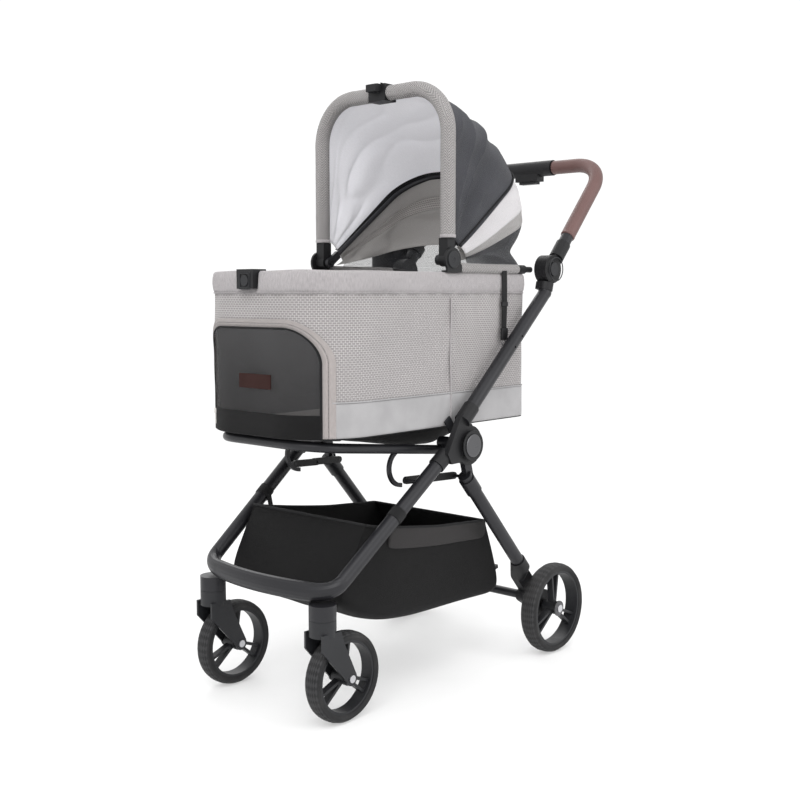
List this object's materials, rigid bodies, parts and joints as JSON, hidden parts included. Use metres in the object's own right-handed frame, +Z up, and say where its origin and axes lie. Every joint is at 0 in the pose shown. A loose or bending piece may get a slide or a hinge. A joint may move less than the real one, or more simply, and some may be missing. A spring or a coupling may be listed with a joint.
{
  "type": "pet stroller",
  "caption": "Folding pet stroller with a fabric carrier, swinging hoop canopy, swivel front wheels, basket, turning U handle and cup holder.",
  "frame": {"origin": "on the ground under the middle of the object's box", "axes": "+Z up, +X to the stroller's left, the front faces -Y"},
  "size_m": [0.5304, 0.8804, 1.173],
  "materials": {
    "frame_tube": "satin",
    "black_plastic": "matte",
    "steel": "brushed",
    "tyre_rubber": "matte",
    "wheel_plastic": "satin",
    "basket_fabric": "woven",
    "pad_fabric": "woven",
    "wall_mesh": "mesh",
    "door_mesh": "mesh",
    "rim_fabric": "woven",
    "sleeve_fabric": "herringbone",
    "webbing": "woven",
    "zip_cord": "woven",
    "canopy_mesh": "mesh",
    "canopy_pearl": "satin",
    "handle_paint": "satin",
    "grip_leather": "grained"
  },
  "bodies": {
    "frame": {"front_bar": "frame_tube", "front_leg_left": "frame_tube", "front_leg_right": "frame_tube", "hub_left": "black_plastic", "hub_right": "black_plastic", "hub_pins": "steel", "upper_tube_left": "frame_tube", "upper_tube_right": "frame_tube", "handle_socket_left": "black_plastic", "handle_socket_right": "black_plastic", "caster_sleeve_left": "black_plastic", "caster_sleeve_right": "black_plastic", "basket": "basket_fabric"},
    "levers": {"release_levers": "black_plastic"},
    "caster_left": {"fork_left": "black_plastic", "front_axle_left": "steel"},
    "caster_right": {"fork_right": "black_plastic", "front_axle_right": "steel"},
    "front_wheel_left": {"front_tyre_left": "tyre_rubber", "front_wheel_left": "wheel_plastic"},
    "front_wheel_right": {"front_tyre_right": "tyre_rubber", "front_wheel_right": "wheel_plastic"},
    "rear_frame": {"rear_leg_left": "frame_tube", "rear_leg_right": "frame_tube", "rear_foot_left": "black_plastic", "rear_foot_right": "black_plastic", "rear_crossbar": "frame_tube", "rear_axles": "steel"},
    "rear_wheel_left": {"rear_tyre_left": "tyre_rubber", "rear_wheel_left": "wheel_plastic"},
    "rear_wheel_right": {"rear_tyre_right": "tyre_rubber", "rear_wheel_right": "wheel_plastic"},
    "brake": {"brake_pedal": "black_plastic"},
    "base": {"base_loop": "frame_tube", "base_sling": "basket_fabric", "floor_pad": "pad_fabric", "carrier_walls": "wall_mesh"},
    "door": {"door_flap": "door_mesh", "zip_puller": "zip_cord"},
    "rim": {"rim_band": "rim_fabric", "side_rails": "sleeve_fabric", "rim_fittings": "black_plastic", "rim_buckle": "black_plastic", "rim_strap": "webbing"},
    "rim_button": {"buckle_button": "black_plastic"},
    "mid_bow": {"mid_bow": "frame_tube", "canopy_rear": "canopy_pearl"},
    "hoop": {"hoop": "sleeve_fabric", "hoop_latch": "black_plastic", "canopy_front": "canopy_mesh"},
    "front_links": {"front_links": "black_plastic"},
    "rear_links": {"rear_links": "black_plastic"},
    "handle": {"handle_bar": "handle_paint", "handle_grips": "grip_leather", "handle_joints": "black_plastic", "handle_housing": "black_plastic", "cup_holder": "black_plastic"},
    "handle_trigger": {"fold_trigger": "black_plastic"},
    "joint_button_left": {"joint_button_left": "black_plastic"},
    "joint_button_right": {"joint_button_right": "black_plastic"}
  },
  "joints": [
    {"name": "rear_leg_fold", "type": "hinge", "parent": "frame", "child": "rear_frame", "pos_m": [0.03825, -0.05872, 0.475], "axis": [-1, 0, 0], "range_deg": [0, 46], "deforming": ["basket"]},
    {"name": "base_fold", "type": "hinge", "parent": "frame", "child": "base", "pos_m": [0.03825, -0.05872, 0.475], "axis": [1, 0, 0], "range_deg": [0, 36.2]},
    {"name": "rim_drop", "type": "slide", "parent": "base", "child": "rim", "axis": [0, 0.5961, -0.8029], "range_m": [0, 0.25806], "deforming": ["carrier_walls"]},
    {"name": "front_link_fold", "type": "hinge", "parent": "frame", "child": "front_links", "pos_m": [0.03825, -0.18072, 0.416], "axis": [-1, 0, 0], "range_deg": [0, 52.39]},
    {"name": "rear_link_fold", "type": "hinge", "parent": "rear_frame", "child": "rear_links", "pos_m": [0.03825, -0.04772, 0.41], "axis": [1, 0, 0], "range_deg": [0, 97.48]},
    {"name": "caster_swivel_left", "type": "hinge", "parent": "frame", "child": "caster_left", "pos_m": [0.18925, -0.39972, 0.195], "axis": [0, 0, 1], "continuous": true},
    {"name": "front_wheel_spin_left", "type": "hinge", "parent": "caster_left", "child": "front_wheel_left", "pos_m": [0.18925, -0.35072, 0.0825], "axis": [1, 0, 0], "continuous": true},
    {"name": "rear_wheel_spin_left", "type": "hinge", "parent": "rear_frame", "child": "rear_wheel_left", "pos_m": [0.24425, 0.23228, 0.095], "axis": [1, 0, 0], "continuous": true},
    {"name": "caster_swivel_right", "type": "hinge", "parent": "frame", "child": "caster_right", "pos_m": [-0.11275, -0.39972, 0.195], "axis": [0, 0, 1], "continuous": true},
    {"name": "front_wheel_spin_right", "type": "hinge", "parent": "caster_right", "child": "front_wheel_right", "pos_m": [-0.11275, -0.35072, 0.0825], "axis": [1, 0, 0], "continuous": true},
    {"name": "rear_wheel_spin_right", "type": "hinge", "parent": "rear_frame", "child": "rear_wheel_right", "pos_m": [-0.16775, 0.23228, 0.095], "axis": [1, 0, 0], "continuous": true},
    {"name": "brake_press", "type": "hinge", "parent": "rear_frame", "child": "brake", "pos_m": [0.03825, 0.17628, 0.126], "axis": [-1, 0, 0], "range_deg": [0, 22]},
    {"name": "door_swing", "type": "hinge", "parent": "base", "child": "door", "pos_m": [0.03825, -0.42672, 0.52], "axis": [1, 0, 0], "range_deg": [0, 75]},
    {"name": "buckle_press", "type": "slide", "parent": "rim", "child": "rim_button", "axis": [0, 1, 0], "range_m": [0, 0.003], "stiffness_N_per_m": 300, "springref_m": -0.002},
    {"name": "bow_swing", "type": "hinge", "parent": "rim", "child": "mid_bow", "pos_m": [0.03825, -0.08072, 0.829], "axis": [1, 0, 0], "range_deg": [-34.6, 40.2]},
    {"name": "hoop_swing", "type": "hinge", "parent": "mid_bow", "child": "hoop", "pos_m": [0.03825, -0.08072, 0.829], "axis": [1, 0, 0], "range_deg": [-43, 50], "deforming": ["canopy_front", "canopy_rear"]},
    {"name": "handle_turn", "type": "hinge", "parent": "frame", "child": "handle", "pos_m": [0.03825, 0.21128, 0.815], "axis": [1, 0, 0], "range_deg": [-90, 45]},
    {"name": "trigger_squeeze", "type": "slide", "parent": "handle", "child": "handle_trigger", "axis": [0, 0, 1], "range_m": [0, 0.004], "stiffness_N_per_m": 400, "springref_m": -0.002},
    {"name": "joint_press_left", "type": "slide", "parent": "handle", "child": "joint_button_left", "axis": [-1, 0, 0], "range_m": [0, 0.003], "stiffness_N_per_m": 400, "springref_m": -0.002},
    {"name": "joint_press_right", "type": "slide", "parent": "handle", "child": "joint_button_right", "axis": [1, 0, 0], "range_m": [0, 0.003], "stiffness_N_per_m": 400, "springref_m": -0.002},
    {"name": "lever_pull", "type": "hinge", "parent": "frame", "child": "levers", "pos_m": [0.03825, -0.05872, 0.475], "axis": [1, 0, 0], "range_deg": [0, 15], "stiffness_Nm_per_rad": 1, "springref_deg": -5.73}
  ],
  "couplings": [
    {"joint": "base_fold", "follows": "rear_leg_fold", "ratio": 0.78261},
    {"joint": "rim_drop", "follows": "rear_leg_fold", "m_per_rad": 0.32019},
    {"joint": "front_link_fold", "follows": "rear_leg_fold", "ratio": 1.1345},
    {"joint": "rear_link_fold", "follows": "rear_leg_fold", "ratio": 2.1148},
    {"joint": "bow_swing", "follows": "hoop_swing", "ratio": 0.8}
  ]
}
